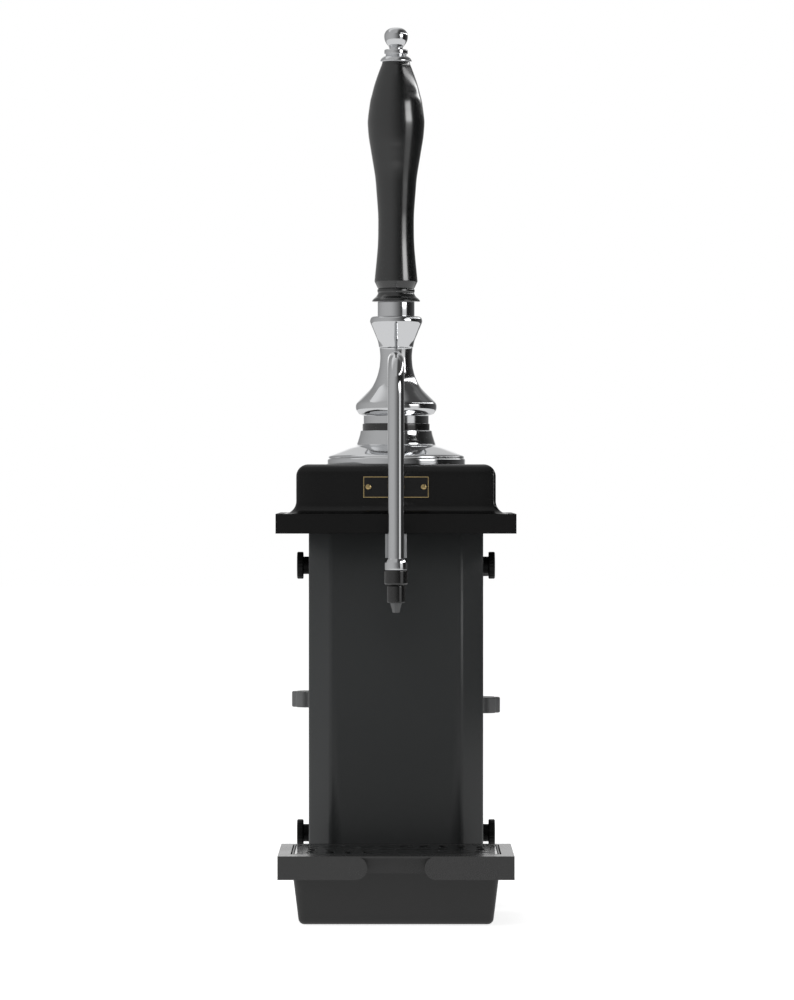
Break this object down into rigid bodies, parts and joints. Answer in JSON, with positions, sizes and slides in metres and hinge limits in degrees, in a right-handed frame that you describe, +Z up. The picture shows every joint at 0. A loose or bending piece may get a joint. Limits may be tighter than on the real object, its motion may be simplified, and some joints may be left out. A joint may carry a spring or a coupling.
{
  "type": "hand pump beer engine",
  "caption": "Clamp-on hand pump beer engine: black column, chrome pillar with a rocking turned handle, swan-neck spout with sparkler, bar clamp screws and a lift-out drip tray.",
  "frame": {"origin": "underside of the rubber foot, straight below the pillar's axis", "axes": "+Z up along the pillar, +X to the right as seen from the spout's side, -Y towards the spout and drip tray"},
  "size_m": [0.22, 0.338, 0.819],
  "materials": {
    "column_paint": "satin",
    "board_black": "satin",
    "casing_black": "satin",
    "tray_plastic": "satin",
    "chrome": "polished",
    "black_gloss": "gloss",
    "thumb_black": "satin",
    "plate_black": "satin",
    "brass": "satin",
    "grey_plastic": "matt",
    "steel": "satin",
    "cap_aluminium": "satin",
    "copper_tint_pipe": "satin",
    "white_plastic": "matt",
    "rubber": "matt"
  },
  "bodies": {
    "frame": {"foot_pad": "rubber", "base_plate": "steel", "back_frame": "column_paint", "column_cover": "column_paint", "top_plate": "steel", "board": "board_black", "cowl": "casing_black", "name_plate": "plate_black", "plate_rivets": "brass", "pillar_base": "chrome", "pillar_ring": "black_gloss", "pillar_body": "chrome", "pillar_studs": "steel", "swan_neck": "chrome", "spout_collar": "chrome", "steady_bracket": "steel", "delivery_pipe": "copper_tint_pipe", "pivot_fork": "steel", "pivot_pin": "steel", "rocker_bracket": "steel", "cylinder_tube": "steel", "cylinder_top_cap": "cap_aluminium", "cylinder_bottom_cap": "cap_aluminium", "tie_rods": "steel", "gland_nut": "brass", "inlet_fitting": "brass", "tray_holder": "tray_plastic", "holder_screws": "thumb_black", "clamp_bracket": "column_paint"},
    "handle": {"handle_cup": "chrome", "crank_pin": "steel", "handle_rod": "chrome", "grip_collar": "black_gloss", "handle_stud": "steel", "handle_grip": "black_gloss", "ferrule": "chrome", "finial": "chrome"},
    "pull_rod": {"pull_rod": "steel"},
    "rocker": {"rocker_beam": "steel"},
    "piston": {"piston": "white_plastic", "piston_seal": "rubber", "piston_rod": "steel"},
    "piston_valve": {"piston_valve": "rubber"},
    "foot_valve": {"foot_valve": "rubber"},
    "sparkler": {"sparkler_nut": "black_gloss", "sparkler_sleeve": "black_gloss", "sparkler_tip": "grey_plastic"},
    "thumb_screw_left_upper": {"thumb_screw_left_upper": "thumb_black"},
    "thumb_screw_left_lower": {"thumb_screw_left_lower": "thumb_black"},
    "thumb_screw_right_upper": {"thumb_screw_right_upper": "thumb_black"},
    "thumb_screw_right_lower": {"thumb_screw_right_lower": "thumb_black"},
    "basin": {"drip_basin": "tray_plastic"},
    "grille": {"drip_grille": "tray_plastic"},
    "pad_left": {"clamp_pad_left": "rubber"},
    "pad_right": {"clamp_pad_right": "rubber"},
    "screw_left": {"clamp_screw_left": "steel", "clamp_knob_left": "grey_plastic"},
    "screw_right": {"clamp_screw_right": "steel", "clamp_knob_right": "grey_plastic"}
  },
  "joints": [
    {"name": "handle_pull", "type": "hinge", "parent": "frame", "child": "handle", "pos_m": [0, 0, 0.537], "axis": [1, 0, 0], "range_deg": [0, 45]},
    {"name": "pull_rod_slide", "type": "slide", "parent": "frame", "child": "pull_rod", "axis": [0, 0, 1], "range_m": [0, 0.00995]},
    {"name": "rocker_swing", "type": "hinge", "parent": "frame", "child": "rocker", "pos_m": [0, 0.01676, 0.386], "axis": [-1, 0, 0], "range_deg": [0, 48.99]},
    {"name": "piston_slide", "type": "slide", "parent": "frame", "child": "piston", "axis": [0, 0, 1], "range_m": [0, 0.02985]},
    {"name": "piston_valve_lift", "type": "slide", "parent": "piston", "child": "piston_valve", "axis": [0, 0, 1], "range_m": [0, 0.0025]},
    {"name": "foot_valve_lift", "type": "slide", "parent": "frame", "child": "foot_valve", "axis": [0, 0, 1], "range_m": [0, 0.0025]},
    {"name": "sparkler_turn", "type": "hinge", "parent": "frame", "child": "sparkler", "pos_m": [0, -0.14, 0.3], "axis": [0, 0, 1], "range_deg": [0, 360]},
    {"name": "thumb_turn_left_upper", "type": "hinge", "parent": "frame", "child": "thumb_screw_left_upper", "pos_m": [-0.0805, -0.01, 0.3187], "axis": [-1, 0, 0], "continuous": true},
    {"name": "thumb_turn_left_lower", "type": "hinge", "parent": "frame", "child": "thumb_screw_left_lower", "pos_m": [-0.0805, -0.01, 0.0703], "axis": [-1, 0, 0], "continuous": true},
    {"name": "thumb_turn_right_upper", "type": "hinge", "parent": "frame", "child": "thumb_screw_right_upper", "pos_m": [0.0805, -0.01, 0.3187], "axis": [1, 0, 0], "continuous": true},
    {"name": "thumb_turn_right_lower", "type": "hinge", "parent": "frame", "child": "thumb_screw_right_lower", "pos_m": [0.0805, -0.01, 0.0703], "axis": [1, 0, 0], "continuous": true},
    {"name": "basin_lift", "type": "slide", "parent": "frame", "child": "basin", "axis": [0, 0, 1], "range_m": [0, 0.07]},
    {"name": "grille_lift", "type": "slide", "parent": "basin", "child": "grille", "axis": [0, 0, 1], "range_m": [0, 0.04]},
    {"name": "clamp_slide_left", "type": "slide", "parent": "frame", "child": "pad_left", "axis": [0, 0, 1], "range_m": [-0.061, 0.028]},
    {"name": "clamp_turn_left", "type": "hinge", "parent": "pad_left", "child": "screw_left", "pos_m": [-0.0735, 0.085, 0.1905], "axis": [0, 0, 1], "range_deg": [-3660, 1680]},
    {"name": "clamp_slide_right", "type": "slide", "parent": "frame", "child": "pad_right", "axis": [0, 0, 1], "range_m": [-0.0555, 0.0335]},
    {"name": "clamp_turn_right", "type": "hinge", "parent": "pad_right", "child": "screw_right", "pos_m": [0.0735, 0.085, 0.185], "axis": [0, 0, 1], "range_deg": [-3330, 2010]}
  ],
  "couplings": [
    {"joint": "pull_rod_slide", "follows": "handle_pull", "m_per_rad": 0.012668},
    {"joint": "rocker_swing", "follows": "handle_pull", "ratio": 1.0886},
    {"joint": "piston_slide", "follows": "handle_pull", "m_per_rad": 0.038005},
    {"joint": "clamp_slide_left", "follows": "clamp_turn_left", "m_per_rad": 0.00095493},
    {"joint": "clamp_slide_right", "follows": "clamp_turn_right", "m_per_rad": 0.00095493}
  ]
}
